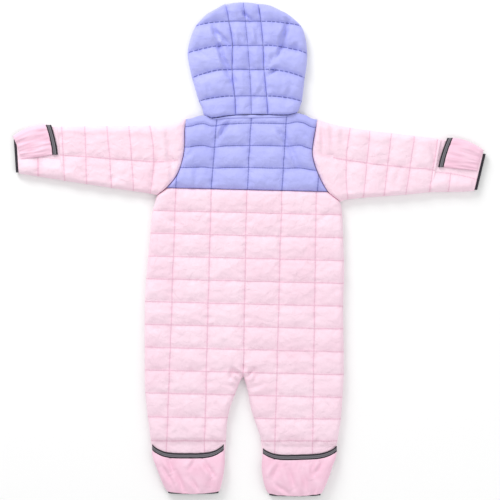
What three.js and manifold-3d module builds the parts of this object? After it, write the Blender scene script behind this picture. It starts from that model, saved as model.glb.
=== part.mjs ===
// A padded snowsuit for a baby, laid out flat on its front with the hood above and the legs below.
// Millimetres, +Z up. X runs to the wearer's right, Y towards the hood, and the surface is at z = 0.
// Every cloth piece is a panel with a top and an underside worked out at the same section points.
import * as THREE from 'three';
import Module from 'manifold-3d';
import { mergeVertices } from 'three/addons/utils/BufferGeometryUtils.js';

const wasm = await Module();
wasm.setup();

// Driving dimensions
const SEAM_GAP = 0.3;          // between pieces sewn edge to edge or lying on each other
const CURVED_SEAM_GAP = 0.8;   // the ditch of the armhole and neck seams
const FRONT_TOP = 6.2;         // the front panels fill z = 0 to here
const EDGE_HEIGHT = 6.9;       // where back and front meet along a folded edge
const BACK_UNDER = 7.6;        // underside of the back panels
const YOKE_UNDER = 9.0;        // the yoke clears the zip slider below it
const EDGE_WALL = 1.2;         // the shell alone, where the padding ends at a seam
const PUFF = 9.4;              // padded wall in the middle of a quilted cell
const STITCHED = 5.4;          // padded wall along a stitch line
const CROSSED = 4.8;           // padded wall where two stitch lines cross
const HELD_TOP = 10.5;         // top of the back where an elastic pocket lies over it
const COVER_WALL = 1.5;        // thin cloth of the hand and foot covers
const BAND_WIDTH = 9;
const BAND_WALL = 1.6;
const RIM = 9;                 // from a seam to the full height of the padding
const QUILT_ROW = 36.4;        // from one cross stitch line to the next
const FALL = 0.024;            // the rows fall this much for each mm towards +X
const YOKE_SEAM = 96;          // y of the seam between yoke and body, at x = 0
const CROTCH = -200.8;
const ZIP_X = -3;
const ZIP_TOP = 205;
const ZIP_BOTTOM = -150;
const GROOVE = 5;              // half the width left open for the zip between the front panels

// Outline of the body and legs, from the yoke down; the inner edges start at the crotch
const SIDES = [
  { y: 99, left: -132.6, right: 117 },
  { y: 92.8, left: -140.4, right: 124.5 },
  { y: 87.7, left: -146.5, right: 131 },
  { y: 76.8, left: -150.5, right: 144 },
  { y: 54, left: -156, right: 148 },
  { y: 16, left: -159, right: 149.6 },
  { y: -35, left: -164, right: 151 },
  { y: -86, left: -167, right: 149.6 },
  { y: -201, left: -167, right: 150.4 },
  { y: -227, left: -166.4, right: 148.8 },
  { y: -278, left: -160.8, right: 144.8 },
  { y: -330, left: -153, right: 135 },
  { y: -355, left: -144.4, right: 128.4 },
  { y: -381, left: -133, right: 118 },
  { y: -395, left: -122, right: 110 },
];
const INSEAM = [
  { y: -200.8, left: -10, right: -10 },
  { y: -213, left: -16.5, right: -6 },
  { y: -227, left: -21.6, right: -2.4 },
  { y: -253, left: -31.2, right: 2.4 },
  { y: -278, left: -36, right: 10.4 },
  { y: -304, left: -37.6, right: 18.4 },
  { y: -355, left: -42, right: 21 },
  { y: -381, left: -47.6, right: 26.8 },
  { y: -395, left: -53, right: 36 },
];
// Armhole seams from the shoulder to the underarm
const ARMHOLE = {
  left: [
    { x: -101, y: 209.1 }, { x: -103, y: 192 }, { x: -103.2, y: 169 }, { x: -106, y: 146.9 },
    { x: -116.3, y: 118.4 }, { x: -132.6, y: 99 }, { x: -146.9, y: 87.7 },
  ],
  right: [
    { x: 108.2, y: 208.2 }, { x: 105, y: 192 }, { x: 101, y: 169.4 }, { x: 100.4, y: 150 },
    { x: 108.2, y: 124.5 }, { x: 124.5, y: 93.5 }, { x: 144.5, y: 76.8 },
  ],
};
// Shoulders and neck seam, from left to right
const SHOULDER = [
  { x: -101, y: 209.1 }, { x: -73, y: 214.5 }, { x: -60, y: 210.2 }, { x: -36, y: 213.6 },
  { x: 3, y: 215.7 }, { x: 60, y: 215 }, { x: 78, y: 218 }, { x: 108.2, y: 208.2 },
];
const QUILT_COLUMNS = [
  { name: 'outer left', top: -117.3, bottom: -128 },
  { name: 'left', top: -61, bottom: -69 },
  { name: 'centre', top: -4.6, bottom: -10 },
  { name: 'right', top: 51.7, bottom: 43.5 },
  { name: 'outer right', top: 106.4, bottom: 102 },
];
// Sleeve sections, each from its upper edge to its lower edge; bow leans the middle to the body
const SLEEVE_LEFT = [
  { topX: -133.6, topY: 199.4, lowX: -151.6, lowY: 88.6, bow: 14, stitched: false },
  { topX: -159.2, topY: 198.7, lowX: -158.8, lowY: 90.1, bow: 6, stitched: true },
  { topX: -192.8, topY: 198.2, lowX: -185.3, lowY: 94.1, bow: 1, stitched: true },
  { topX: -227.8, topY: 197.9, lowX: -220.5, lowY: 99.2, bow: 1, stitched: true },
  { topX: -262.9, topY: 197.6, lowX: -259.7, lowY: 105.3, bow: 0, stitched: true },
  { topX: -299.7, topY: 197.3, lowX: -294.7, lowY: 110.4, bow: 0, stitched: true },
];
const CUFF_LEFT = [
  { topX: -309, topY: 197.2, lowX: -302, lowY: 112, bow: 0 },
  { topX: -328, topY: 197.2, lowX: -325, lowY: 115.5, bow: 0 },
  { topX: -350, topY: 194, lowX: -347, lowY: 119, bow: 0 },
  { topX: -372, topY: 178.5, lowX: -368.4, lowY: 122.2, bow: 0 },
];
const SLEEVE_RIGHT = [
  { topX: 130.4, topY: 201, lowX: 149.6, lowY: 79.4, bow: -14, stitched: false },
  { topX: 161.1, topY: 195.2, lowX: 157, lowY: 80.8, bow: -5, stitched: true },
  { topX: 192.2, topY: 190.4, lowX: 181.6, lowY: 83.5, bow: 0, stitched: true },
  { topX: 226.4, topY: 186.4, lowX: 214.6, lowY: 85.9, bow: 0, stitched: true },
  { topX: 263.2, topY: 182.1, lowX: 249.3, lowY: 88.5, bow: 0, stitched: true },
  { topX: 299.8, topY: 177.1, lowX: 286.9, lowY: 92.2, bow: 0, stitched: true },
];
const CUFF_RIGHT = [
  { topX: 309, topY: 176, lowX: 291, lowY: 92.4, bow: 0 },
  { topX: 328, topY: 174, lowX: 317, lowY: 92.8, bow: 0 },
  { topX: 351, topY: 166.5, lowX: 340, lowY: 93.2, bow: 0 },
  { topX: 373.2, topY: 155.4, lowX: 358.6, lowY: 94.4, bow: 0 },
];
// How the padded wall swells across a sleeve: t from upper to lower edge, rise from 0 to 1
const SLEEVE_ACROSS = [
  { t: 0, rise: 0 }, { t: 0.1, rise: 0.7 }, { t: 0.29, rise: 1 }, { t: 0.53, rise: 0.45 },
  { t: 0.76, rise: 1 }, { t: 0.92, rise: 0.6 }, { t: 1, rise: 0 },
];
// Hood sections from the neck to the crown; drop is how far a row falls at the two edges
const HOOD = [
  { y: 216, left: -73, seamLeft: -21.9, centre: 3, seamRight: 29.4, right: 76,
    faceLeft: -16, faceRight: 10, drop: 0, swell: 5.4 },
  { y: 231, left: -76, seamLeft: -22.6, centre: 2.7, seamRight: 28.4, right: 80,
    faceLeft: -30, faceRight: 24, drop: 4, swell: 8.6 },
  { y: 245.6, left: -80.8, seamLeft: -23.2, centre: 2.4, seamRight: 27.4, right: 83.4,
    faceLeft: -40, faceRight: 34, drop: 8, swell: 5.4 },
  { y: 267, left: -86.5, seamLeft: -26, centre: 1.3, seamRight: 25.2, right: 86,
    faceLeft: -48, faceRight: 42, drop: 10, swell: 9 },
  { y: 288, left: -91.8, seamLeft: -27.7, centre: 0.2, seamRight: 23, right: 88,
    faceLeft: -53, faceRight: 47, drop: 13, swell: 5.4 },
  { y: 307, left: -96, seamLeft: -27.4, centre: -1.2, seamRight: 22.3, right: 91,
    faceLeft: -55, faceRight: 49, drop: 13, swell: 9.4 },
  { y: 326.4, left: -98.8, seamLeft: -26.9, centre: -2.6, seamRight: 21.6, right: 92,
    faceLeft: -54, faceRight: 48, drop: 12, swell: 5.4 },
  { y: 346, left: -94.8, seamLeft: -29, centre: -4.5, seamRight: 20, right: 89.6,
    faceLeft: -48, faceRight: 41, drop: 10, swell: 9 },
  { y: 364.8, left: -85.6, seamLeft: -32.6, centre: -6.4, seamRight: 18.1, right: 82,
    faceLeft: -37, faceRight: 20, drop: 7, swell: 5.2 },
  { y: 379, left: -69, seamLeft: -35, centre: -8, seamRight: 16.4, right: 62,
    faceLeft: -35.6, faceRight: 17, drop: 3, swell: 6.6 },
  { y: 389, left: -51, seamLeft: -37, centre: -9.6, seamRight: 14.8, right: 41.6,
    faceLeft: -37.6, faceRight: 15.4, drop: 1, swell: 3.2 },
];
// Feet: the mouth band runs from left to right with its middle lower by sag
const FEET = [
  { side: 'left', left: -155.4, leftY: -310, right: -41, rightY: -310, sag: 14, end: -385 },
  { side: 'right', left: 21.3, leftY: -316, right: 139.4, rightY: -312.5, sag: 12, end: -388.6 },
];

const FINISH = {
  pinkShell: { color: 0xfbdfee, roughness: 0.75, metalness: 0 },
  pinkCover: { color: 0xf8cde1, roughness: 0.8, metalness: 0 },
  blueShell: { color: 0xb8bbf4, roughness: 0.75, metalness: 0 },
  blackElastic: { color: 0x2e2a33, roughness: 0.85, metalness: 0 },
  pinkTape: { color: 0xefc3d8, roughness: 0.85, metalness: 0 },
  pinkPlastic: { color: 0xf0bcd4, roughness: 0.4, metalness: 0 },
  paintedZinc: { color: 0xe9b3cd, roughness: 0.35, metalness: 0.1 },
};

const snowsuit = new THREE.Group();

const mix = (a, b, t) => a + (b - a) * t;

// Straight interpolation of one column of a table, by another column that rises or falls
function readTable(table, by, value, column) {
  const rising = table[table.length - 1][by] > table[0][by];
  let i = 1;
  while (i < table.length - 1 && (rising ? table[i][by] < value : table[i][by] > value)) i += 1;
  const [a, b] = [table[i - 1], table[i]];
  const t = Math.min(1, Math.max(0, (value - a[by]) / (b[by] - a[by])));
  return mix(a[column], b[column], t);
}

// Welds four-sided faces into one closed mesh; two faces that meet back to back cancel out
function weld(faces) {
  const places = new Map();
  const positions = [];
  const indexOf = (p) => {
    const key = p.map((v) => Math.round(v * 1e4)).join();
    if (!places.has(key)) {
      places.set(key, places.size);
      positions.push(...p);
    }
    return places.get(key);
  };
  const kept = new Map();
  for (const face of faces) {
    const corners = face.map(indexOf);
    const key = [...corners].sort((a, b) => a - b).join();
    if (kept.has(key)) kept.delete(key);
    else kept.set(key, corners);
  }
  const triangles = [];
  for (const [a, b, c, d] of kept.values()) triangles.push(a, b, c, a, c, d);
  const corner = (i) => new THREE.Vector3().fromArray(positions, triangles[i] * 3);
  let volume = 0;
  for (let i = 0; i < triangles.length; i += 3) {
    volume += corner(i).dot(corner(i + 1).cross(corner(i + 2)));
  }
  if (volume < 0) triangles.reverse();
  const geometry = new THREE.BufferGeometry();
  geometry.setAttribute('position', new THREE.Float32BufferAttribute(positions, 3));
  geometry.setIndex(triangles);
  return geometry;
}

// Faces of a panel with its top and underside given at the same rows and columns of points
function panelFaces(top, under) {
  const faces = [];
  const last = top[0].length - 1;
  for (let i = 0; i + 1 < top.length; i += 1) {
    for (let j = 0; j < last; j += 1) {
      faces.push([top[i][j], top[i + 1][j], top[i + 1][j + 1], top[i][j + 1]]);
      faces.push([under[i][j], under[i][j + 1], under[i + 1][j + 1], under[i + 1][j]]);
    }
    faces.push([top[i][0], under[i][0], under[i + 1][0], top[i + 1][0]]);
    faces.push([top[i][last], top[i + 1][last], under[i + 1][last], under[i][last]]);
  }
  const end = top.length - 1;
  for (let j = 0; j < last; j += 1) {
    faces.push([top[0][j], top[0][j + 1], under[0][j + 1], under[0][j]]);
    faces.push([top[end][j], under[end][j], under[end][j + 1], top[end][j + 1]]);
  }
  return faces;
}

// Faces of an open-ended tube, each section a ring of outer points and a ring of inner points
function tubeFaces(outer, inner) {
  const faces = [];
  const count = outer[0].length;
  const end = outer.length - 1;
  for (let j = 0; j < count; j += 1) {
    const k = (j + 1) % count;
    for (let i = 0; i < end; i += 1) {
      faces.push([outer[i][j], outer[i + 1][j], outer[i + 1][k], outer[i][k]]);
      faces.push([inner[i][j], inner[i][k], inner[i + 1][k], inner[i + 1][j]]);
    }
    faces.push([outer[0][j], outer[0][k], inner[0][k], inner[0][j]]);
    faces.push([outer[end][j], inner[end][j], inner[end][k], outer[end][k]]);
  }
  return faces;
}

function addPiece(name, geometry, finish) {
  const mesh = new THREE.Mesh(geometry, new THREE.MeshStandardMaterial(FINISH[finish]));
  mesh.name = name;
  snowsuit.add(mesh);
}

// Padded wall over a point, from whether its row and its column are stitch lines
function paddedWall(rowStitched, columnStitched) {
  if (rowStitched && columnStitched) return CROSSED;
  return rowStitched || columnStitched ? STITCHED : PUFF;
}

const columnX = (index, y) => {
  const { top, bottom } = QUILT_COLUMNS[index];
  return mix(top, bottom, (YOKE_SEAM - y) / (YOKE_SEAM - CROTCH));
};

// Section heights down the body: every other one is a stitch line, then the held foot
function bodyRows(foot) {
  const rows = [];
  for (let i = 0; i <= 22; i += 1) {
    const y = i === 16 ? CROTCH : YOKE_SEAM - (i * QUILT_ROW) / 2;
    rows.push({ y, stitched: i % 2 === 0, split: i > 16 });
  }
  for (const y of [-315, -332, -357, foot.end]) rows.push({ y, held: true, split: true });
  return rows;
}

// One half of the back: from its side seam to the centre, or to the inseam below the crotch
function backHalfFaces(foot) {
  const side = foot.side;
  const into = side === 'left' ? 1 : -1;
  const columns = side === 'left' ? [0, 1] : [4, 3];
  const top = [];
  const under = [];
  for (const row of bodyRows(foot)) {
    const edge = readTable(SIDES, 'y', row.y, side);
    const edgeY = row.held ? row.y : row.y - FALL * edge;
    const outer = readTable(SIDES, 'y', edgeY, side);
    const centre = row.split ? readTable(INSEAM, 'y', row.y, side) : columnX(2, row.y);
    const [line, second] = columns.map((index) => columnX(index, row.y));
    const first = into * Math.max(into * line, into * outer + RIM + 6);
    const places = [
      { x: outer, wall: EDGE_WALL },
      { x: outer + into * RIM, wall: mix(EDGE_WALL, paddedWall(row.stitched, false), 0.6) },
      { x: first, wall: paddedWall(row.stitched, true) },
      { x: mix(first, second, 0.5), wall: paddedWall(row.stitched, false) },
      { x: second, wall: paddedWall(row.stitched, true) },
      { x: mix(second, centre, 0.5), wall: paddedWall(row.stitched, false) },
      { x: centre, wall: row.split ? EDGE_WALL : paddedWall(row.stitched, true) },
    ];
    const place = ({ x, wall }, lift) => {
      const y = row.held ? row.y : row.y - FALL * x;
      const height = row.held ? Math.min(wall, HELD_TOP - BACK_UNDER) : wall;
      return [x, y, BACK_UNDER + (lift ? height : 0)];
    };
    if (side === 'right') places.reverse();
    top.push(places.map((p) => place(p, true)));
    under.push(places.map((p) => place(p, false)));
  }
  return panelFaces(top, under);
}

function addBack() {
  addPiece('back_body', weld(FEET.flatMap((foot) => backHalfFaces(foot))), 'pinkShell');
}

// Front panel: flat on the surface, from the shoulder down, open at the centre for the zip
function addFront(foot) {
  const side = foot.side;
  const into = side === 'left' ? 1 : -1;
  const armhole = ARMHOLE[side];
  const underarm = armhole[armhole.length - 1].y;
  const levels = [206, ...armhole.slice(1).map((point) => point.y), 70, 40, 0, -45, -90, ZIP_BOTTOM,
    -165, CROTCH, -213, -227, -253, -278, -304, -330, -355, foot.end];
  const centreAt = (y) => {
    if (y > -156) return ZIP_X - into * GROOVE;
    if (y > CROTCH - 1) return mix(ZIP_X, -10, y > -180 ? 0.5 : 1) - into * SEAM_GAP;
    return readTable(INSEAM, 'y', y, side);
  };
  const top = [];
  const under = [];
  for (const y of levels) {
    const outer = y >= underarm ? readTable(armhole, 'y', y, 'x') : readTable(SIDES, 'y', y, side);
    const centre = centreAt(y);
    const row = [0, 0.09, 0.36, 0.68, 1].map((t) => mix(outer, centre, t));
    top.push(row.map((x) => [x, y, FRONT_TOP]));
    under.push(row.map((x, j) => [x, y, j === 0 ? FRONT_TOP - EDGE_WALL : 0]));
  }
  addPiece(`front_${side}`, weld(panelFaces(top, under)), 'pinkShell');
}

function addYoke() {
  const bottomY = (x) => YOKE_SEAM - FALL * x + SEAM_GAP;
  // v runs from the body seam to the neck; at counts armhole points down from the shoulder
  const levels = [
    { v: 0, at: 5, stitched: true }, { v: 0.15, at: 4.4, stitched: false },
    { v: 0.295, at: 4, stitched: true }, { v: 0.44, at: 3, stitched: false },
    { v: 0.59, at: 2, stitched: true }, { v: 0.74, at: 1.4, stitched: false },
    { v: 0.89, at: 1, stitched: true }, { v: 1, at: 0, stitched: true },
  ];
  const columns = [{ top: -52, bottom: -61 }, { top: 3, bottom: -3.5 }, { top: 59, bottom: 52 }];
  const edgePoint = (side, at) => {
    const line = ARMHOLE[side];
    const i = Math.min(4, Math.floor(at));
    const point = ['x', 'y'].map((axis) => mix(line[i][axis], line[i + 1][axis], at - i));
    if (at === 5) point[1] = bottomY(point[0]);
    return point;
  };
  const top = [];
  const under = [];
  for (const { v, at, stitched } of levels) {
    const [left, leftY] = edgePoint('left', at);
    const [right, rightY] = edgePoint('right', at);
    const inside = columns.map((c) => mix(c.bottom, c.top, v));
    const heightAt = (x) => mix(bottomY(x), readTable(SHOULDER, 'x', x, 'y'), v);
    const between = (a, b) => ({ x: mix(a, b, 0.5), wall: paddedWall(stitched, false) });
    const places = [
      { x: left, y: leftY, wall: EDGE_WALL },
      { x: left + RIM, wall: paddedWall(stitched, false) * 0.7 },
      { x: inside[0], wall: paddedWall(stitched, true) },
      between(inside[0], inside[1]),
      { x: inside[1], wall: paddedWall(stitched, true) },
      between(inside[1], inside[2]),
      { x: inside[2], wall: paddedWall(stitched, true) },
      { x: right - RIM, wall: paddedWall(stitched, false) * 0.7 },
      { x: right, y: rightY, wall: EDGE_WALL },
    ];
    const thin = YOKE_UNDER - BACK_UNDER;
    top.push(places.map((p) => [p.x, p.y ?? heightAt(p.x),
      YOKE_UNDER + Math.max(EDGE_WALL, (v === 1 ? CROSSED : p.wall) - thin)]));
    under.push(places.map((p) => [p.x, p.y ?? heightAt(p.x), YOKE_UNDER]));
  }
  addPiece('yoke_back', weld(panelFaces(top, under)), 'blueShell');
}

// Strip of turned-in seam that lies on the yoke just under the hood
function addNeckStrip() {
  const length = 9;
  const top = [];
  const under = [];
  for (let i = 0; i < length; i += 1) {
    const x = mix(-50, 56, i / (length - 1));
    const y = readTable(SHOULDER, 'x', x, 'y') - 0.6;
    const lift = YOKE_UNDER + STITCHED - (YOKE_UNDER - BACK_UNDER) + SEAM_GAP;
    top.push([[x, y, lift + 1], [x, y - 4.4, lift + 1]]);
    under.push([[x, y, lift], [x, y - 4.4, lift]]);
  }
  addPiece('neck_strip', weld(panelFaces(top, under)), 'blueShell');
}

// One side of the hood: from the centre panel over the folded edge and under to the face opening
function addHoodSide(side) {
  const seamKey = side === 'left' ? 'seamLeft' : 'seamRight';
  const faceKey = side === 'left' ? 'faceLeft' : 'faceRight';
  const out = side === 'left' ? -1 : 1;
  const top = [];
  const under = [];
  for (const row of HOOD) {
    const seam = row[seamKey] + out * SEAM_GAP;
    const edge = row[side];
    const face = row[faceKey];
    const fold = Math.min(7 / Math.abs(edge - seam), 0.3);
    const foldX = mix(edge, seam, fold);
    const yAt = (x) => {
      const neck = readTable(SHOULDER, 'x', x, 'y') + CURVED_SEAM_GAP;
      return Math.max(neck + (row.y - HOOD[0].y) * 0.5,
        row.y - row.drop * ((x - seam) / (edge - seam)) ** 2);
    };
    const crest = BACK_UNDER + row.swell;
    const seamTop = BACK_UNDER + Math.min(row.swell, STITCHED);
    const outer = [
      [seam, seamTop], [mix(seam, edge, 0.45), crest], [mix(seam, edge, 0.85), mix(EDGE_HEIGHT, crest, 0.7)],
      [edge, EDGE_HEIGHT], [mix(edge, face, 0.14), 0], [mix(edge, face, 0.5), 0], [face, 0],
    ];
    const inner = [
      [seam, BACK_UNDER], [mix(seam, edge, 0.45), BACK_UNDER], [foldX, BACK_UNDER],
      [foldX, EDGE_HEIGHT], [foldX, FRONT_TOP], [mix(foldX, face, 0.45), FRONT_TOP], [face, FRONT_TOP],
    ];
    top.push(outer.map(([x, z], j) => [x, yAt(x), z]));
    under.push(inner.map(([x, z], j) => [x, yAt(outer[j][0]), z]));
  }
  addPiece(`hood_${side}`, weld(panelFaces(top, under)), 'blueShell');
}

// Middle of the hood: up from the neck, over the crown and a little way back underneath
function addHoodCentre() {
  const top = [];
  const under = [];
  const spread = (row) => [
    row.seamLeft, mix(row.seamLeft, row.centre, 0.5), row.centre,
    mix(row.centre, row.seamRight, 0.5), row.seamRight,
  ];
  const swellAt = (row, j) => (j % 2 === 0 ? Math.min(row.swell, STITCHED) : row.swell);
  HOOD.forEach((row, i) => {
    const yAt = (x) => (i === 0 ? readTable(SHOULDER, 'x', x, 'y') + CURVED_SEAM_GAP : row.y);
    top.push(spread(row).map((x, j) => [x, yAt(x), BACK_UNDER + swellAt(row, j)]));
    under.push(spread(row).map((x) => [x, Math.min(yAt(x), row.y), BACK_UNDER]));
  });
  under[0] = top[0].map(([x, y]) => [x, y, BACK_UNDER]);
  const crown = HOOD[HOOD.length - 1];
  const turn = [
    { y: 395.4, z: EDGE_HEIGHT, innerY: 389.2, innerZ: EDGE_HEIGHT },
    { y: 389, z: 0, innerY: 388, innerZ: FRONT_TOP },
    { y: 379, z: 0, innerY: 379, innerZ: FRONT_TOP, like: HOOD[HOOD.length - 2] },
    { y: 371, z: 0, innerY: 371, innerZ: FRONT_TOP, like: HOOD[HOOD.length - 2] },
  ];
  for (const step of turn) {
    const xs = spread(step.like ?? crown);
    const bulge = (j) => (step.z > 0 ? -Math.abs(j - 2) * 0.9 : 0);
    top.push(xs.map((x, j) => [x, step.y + bulge(j), step.z]));
    under.push(xs.map((x) => [x, step.innerY, step.innerZ]));
  }
  addPiece('hood_centre', weld(panelFaces(top, under)), 'blueShell');
}

// Sleeve: a flattened padded tube from the armhole to the cuff
function addSleeve(side, quilted, cuff) {
  const out = side === 'left' ? -1 : 1;
  const sections = [];
  quilted.forEach((section, i) => {
    sections.push(section);
    const next = quilted[i + 1];
    if (next) {
      const middle = { stitched: false };
      for (const key of ['topX', 'topY', 'lowX', 'lowY', 'bow']) middle[key] = mix(section[key], next[key], 0.5);
      sections.push(middle);
    }
  });
  cuff.forEach((section) => sections.push({ ...section, held: true }));
  const pointAt = (s, t) => [
    mix(s.topX, s.lowX, t) + 4 * s.bow * t * (1 - t),
    mix(s.topY, s.lowY, t),
  ];
  const armholeAt = (t) => {
    const line = ARMHOLE[side];
    const place = t * (line.length - 1);
    const i = Math.min(line.length - 2, Math.floor(place));
    const [a, b] = [line[i], line[i + 1]];
    return [mix(a.x, b.x, place - i) + out * CURVED_SEAM_GAP, mix(a.y, b.y, place - i)];
  };
  const inward = (t) => Math.min(0.91, Math.max(0.09, t));
  const last = SLEEVE_ACROSS.length - 1;
  const ringOf = (place, heightOf) => {
    const across = SLEEVE_ACROSS.map(({ t }, j) => place(t, j));
    const outer = across.map(([x, y], j) => [x, y, heightOf(SLEEVE_ACROSS[j].rise)]);
    const inner = SLEEVE_ACROSS.map(({ t, rise }, j) => {
      const [x, y] = place(inward(t), inward(j / last) * last);
      return [x, y, rise === 0 ? EDGE_HEIGHT : BACK_UNDER];
    });
    for (let j = last - 1; j > 0; j -= 1) {
      const [x, y] = place(inward(SLEEVE_ACROSS[j].t), inward(j / last) * last);
      outer.push([...across[j], 0]);
      inner.push([x, y, FRONT_TOP]);
    }
    return [outer, inner];
  };
  const rings = [ringOf((t, j) => armholeAt(j / last), (rise) => mix(EDGE_HEIGHT, BACK_UNDER + 6.4, rise))];
  for (const s of sections) {
    const wall = s.held ? HELD_TOP - BACK_UNDER : paddedWall(s.stitched, false);
    rings.push(ringOf((t) => pointAt(s, t), (rise) => mix(EDGE_HEIGHT, BACK_UNDER + wall, s.held ? Math.min(1, rise * 2) : rise)));
  }
  addPiece(`sleeve_${side}`, weld(tubeFaces(rings.map((r) => r[0]), rings.map((r) => r[1]))), 'pinkShell');
}

// A foot's pocket: elastic band across its mouth, thin cover below it, bound hem at the end
function addFoot(foot) {
  const steps = 8;
  const mouth = (s, below) => {
    const bend = 1 - (2 * s - 1) ** 4;
    return [mix(foot.left, foot.right, s), mix(foot.leftY, foot.rightY, s) - foot.sag * bend - below];
  };
  const lift = HELD_TOP + SEAM_GAP;
  const bandTop = [];
  const bandUnder = [];
  for (let j = 0; j <= steps; j += 1) {
    const edges = [mouth(j / steps, 0), mouth(j / steps, BAND_WIDTH)];
    bandTop.push(edges.map(([x, y]) => [x, y, lift + BAND_WALL]));
    bandUnder.push(edges.map(([x, y]) => [x, y, lift]));
  }
  addPiece(`foot_band_${foot.side}`, weld(panelFaces(bandTop, bandUnder)), 'blackElastic');

  const swell = [0, 3, 4.2, 3.6, 2.2, 0.4];
  const coverTop = [];
  const coverUnder = [];
  const endY = foot.end - 2.6;
  swell.forEach((rise, i) => {
    const v = i / (swell.length - 1);
    const row = [];
    for (let j = 0; j <= steps; j += 1) {
      const s = j / steps;
      const [mouthX, mouthY] = mouth(s, BAND_WIDTH + SEAM_GAP);
      const y = mix(mouthY, endY + 1.5 * Math.cos(s * Math.PI * 2), v);
      const left = readTable(SIDES, 'y', y, 'left') - 0.8;
      const right = readTable(SIDES, 'y', y, 'right') + 0.8;
      const innerLeft = readTable(INSEAM, 'y', y, 'left') + 0.8;
      const innerRight = readTable(INSEAM, 'y', y, 'right') - 0.8;
      const full = foot.side === 'left' ? mix(left, innerLeft, s) : mix(innerRight, right, s);
      const x = mix(mouthX, full, Math.min(1, v * 2.5));
      const fold = s === 0 || s === 1 ? 0 : 1;
      const gather = j % 2 === 0 ? 1 : 0.72;
      row.push([x, y, lift + rise * fold * gather]);
    }
    coverTop.push(row.map(([x, y, z]) => [x, y, z + COVER_WALL]));
    coverUnder.push(row);
  });
  addPiece(`foot_cover_${foot.side}`, weld(panelFaces(coverTop, coverUnder)), 'pinkCover');

  const hemTop = [];
  const hemUnder = [];
  const from = foot.side === 'left' ? readTable(SIDES, 'y', foot.end, 'left') : readTable(INSEAM, 'y', foot.end, 'right');
  const to = foot.side === 'left' ? readTable(INSEAM, 'y', foot.end, 'left') : readTable(SIDES, 'y', foot.end, 'right');
  for (let j = 0; j <= steps; j += 1) {
    const x = mix(from + 1, to - 1, j / steps);
    const near = foot.end - SEAM_GAP;
    const far = near - 3.4 - 0.5 * Math.sin(j * 1.9);
    hemTop.push([[x, near, BACK_UNDER + 2.4], [x, far, BACK_UNDER + 1.4]]);
    hemUnder.push([[x, near, 0.6], [x, far, 1.6]]);
  }
  addPiece(`hem_binding_${foot.side}`, weld(panelFaces(hemTop, hemUnder)), 'blackElastic');
}

// A hand's pocket on the upper part of the cuff, with its band, cover and bound cuff end
function addHand(hand) {
  const { side, band, end, cuffEnd } = hand;
  const out = side === 'left' ? -1 : 1;
  const lift = HELD_TOP + SEAM_GAP;
  const alongLine = (line, s) => {
    const bend = 4 * s * (1 - s);
    return [mix(line.topX, line.lowX, s) + (line.bow ?? 0) * bend, mix(line.topY, line.lowY, s)];
  };
  const strip = (steps, nearOf, farOf, topZ, underZ) => {
    const top = [];
    const under = [];
    for (let j = 0; j <= steps; j += 1) {
      const edges = [nearOf(j / steps), farOf(j / steps)];
      top.push(edges.map(([x, y]) => [x, y, topZ]));
      under.push(edges.map(([x, y]) => [x, y, underZ]));
    }
    return weld(panelFaces(top, under));
  };
  const bandNear = (s) => alongLine(band, s);
  const bandFar = (s) => {
    const [x, y] = alongLine(band, s);
    return [x + out * BAND_WIDTH, y];
  };
  addPiece(`hand_band_${side}`, strip(6, bandNear, bandFar, lift + BAND_WALL, lift), 'blackElastic');

  const swell = [0, 2.6, 3.4, 3, 1.8, 0.2];
  const coverTop = [];
  const coverUnder = [];
  swell.forEach((rise, i) => {
    const u = i / (swell.length - 1);
    const row = [];
    for (let j = 0; j <= 6; j += 1) {
      const s = j / 6;
      const [x0, y0] = bandFar(s);
      const [x1, y1] = alongLine(end, s);
      const fold = s === 0 || s === 1 ? 0 : 1;
      const bulge = s < 0.5 ? hand.bulge * Math.sin(u * Math.PI) * (1 - 2 * s) : 0;
      const gather = (i + j) % 2 === 0 ? 1 : 0.75;
      row.push([mix(x0 + out * SEAM_GAP, x1, u), mix(y0, y1, u) + bulge, lift + rise * fold * gather]);
    }
    coverTop.push(row.map(([x, y, z]) => [x, y, z + COVER_WALL]));
    coverUnder.push(row);
  });
  addPiece(`hand_cover_${side}`, weld(panelFaces(coverTop, coverUnder)), 'pinkCover');

  const inset = 0.04;
  const cuffAt = (s, away) => {
    const t = mix(inset, 1 - inset, s);
    return [mix(cuffEnd.topX, cuffEnd.lowX, t) + out * away, mix(cuffEnd.topY, cuffEnd.lowY, t)];
  };
  addPiece(`cuff_binding_${side}`,
    strip(6, (s) => cuffAt(s, SEAM_GAP + 0.1), (s) => cuffAt(s, 4.2), BACK_UNDER + 2.2, 0.8), 'blackElastic');
}

// Centre-front zip, in the groove between the front panels and facing the surface
function addZip() {
  const length = ZIP_TOP - ZIP_BOTTOM - 6;
  const middle = (ZIP_TOP + ZIP_BOTTOM) / 2;
  const chain = new THREE.BoxGeometry(5, length, 1.8);
  chain.translate(ZIP_X, middle, 6.5);
  addPiece('zip_chain', chain, 'pinkPlastic');
  const tapeWidth = 9;
  for (const [name, out] of [['left', -1], ['right', 1]]) {
    const tape = new THREE.BoxGeometry(tapeWidth, length, 0.8);
    tape.translate(ZIP_X + out * (2.5 + SEAM_GAP + tapeWidth / 2), middle, 6.9);
    addPiece(`zip_tape_${name}`, tape, 'pinkTape');
  }
}

// Shape given in (y, z), extruded across X about the zip's centre line
function acrossZip(shape, width) {
  const geometry = new THREE.ExtrudeGeometry(shape, { depth: width, bevelEnabled: false });
  geometry.applyMatrix4(new THREE.Matrix4().set(0, 0, 1, ZIP_X - width / 2, 1, 0, 0, 0, 0, 1, 0, 0, 0, 0, 0, 1));
  return geometry;
}

function outline(points) {
  return new THREE.Shape(points.map(([x, y]) => new THREE.Vector2(x, y)));
}

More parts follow.
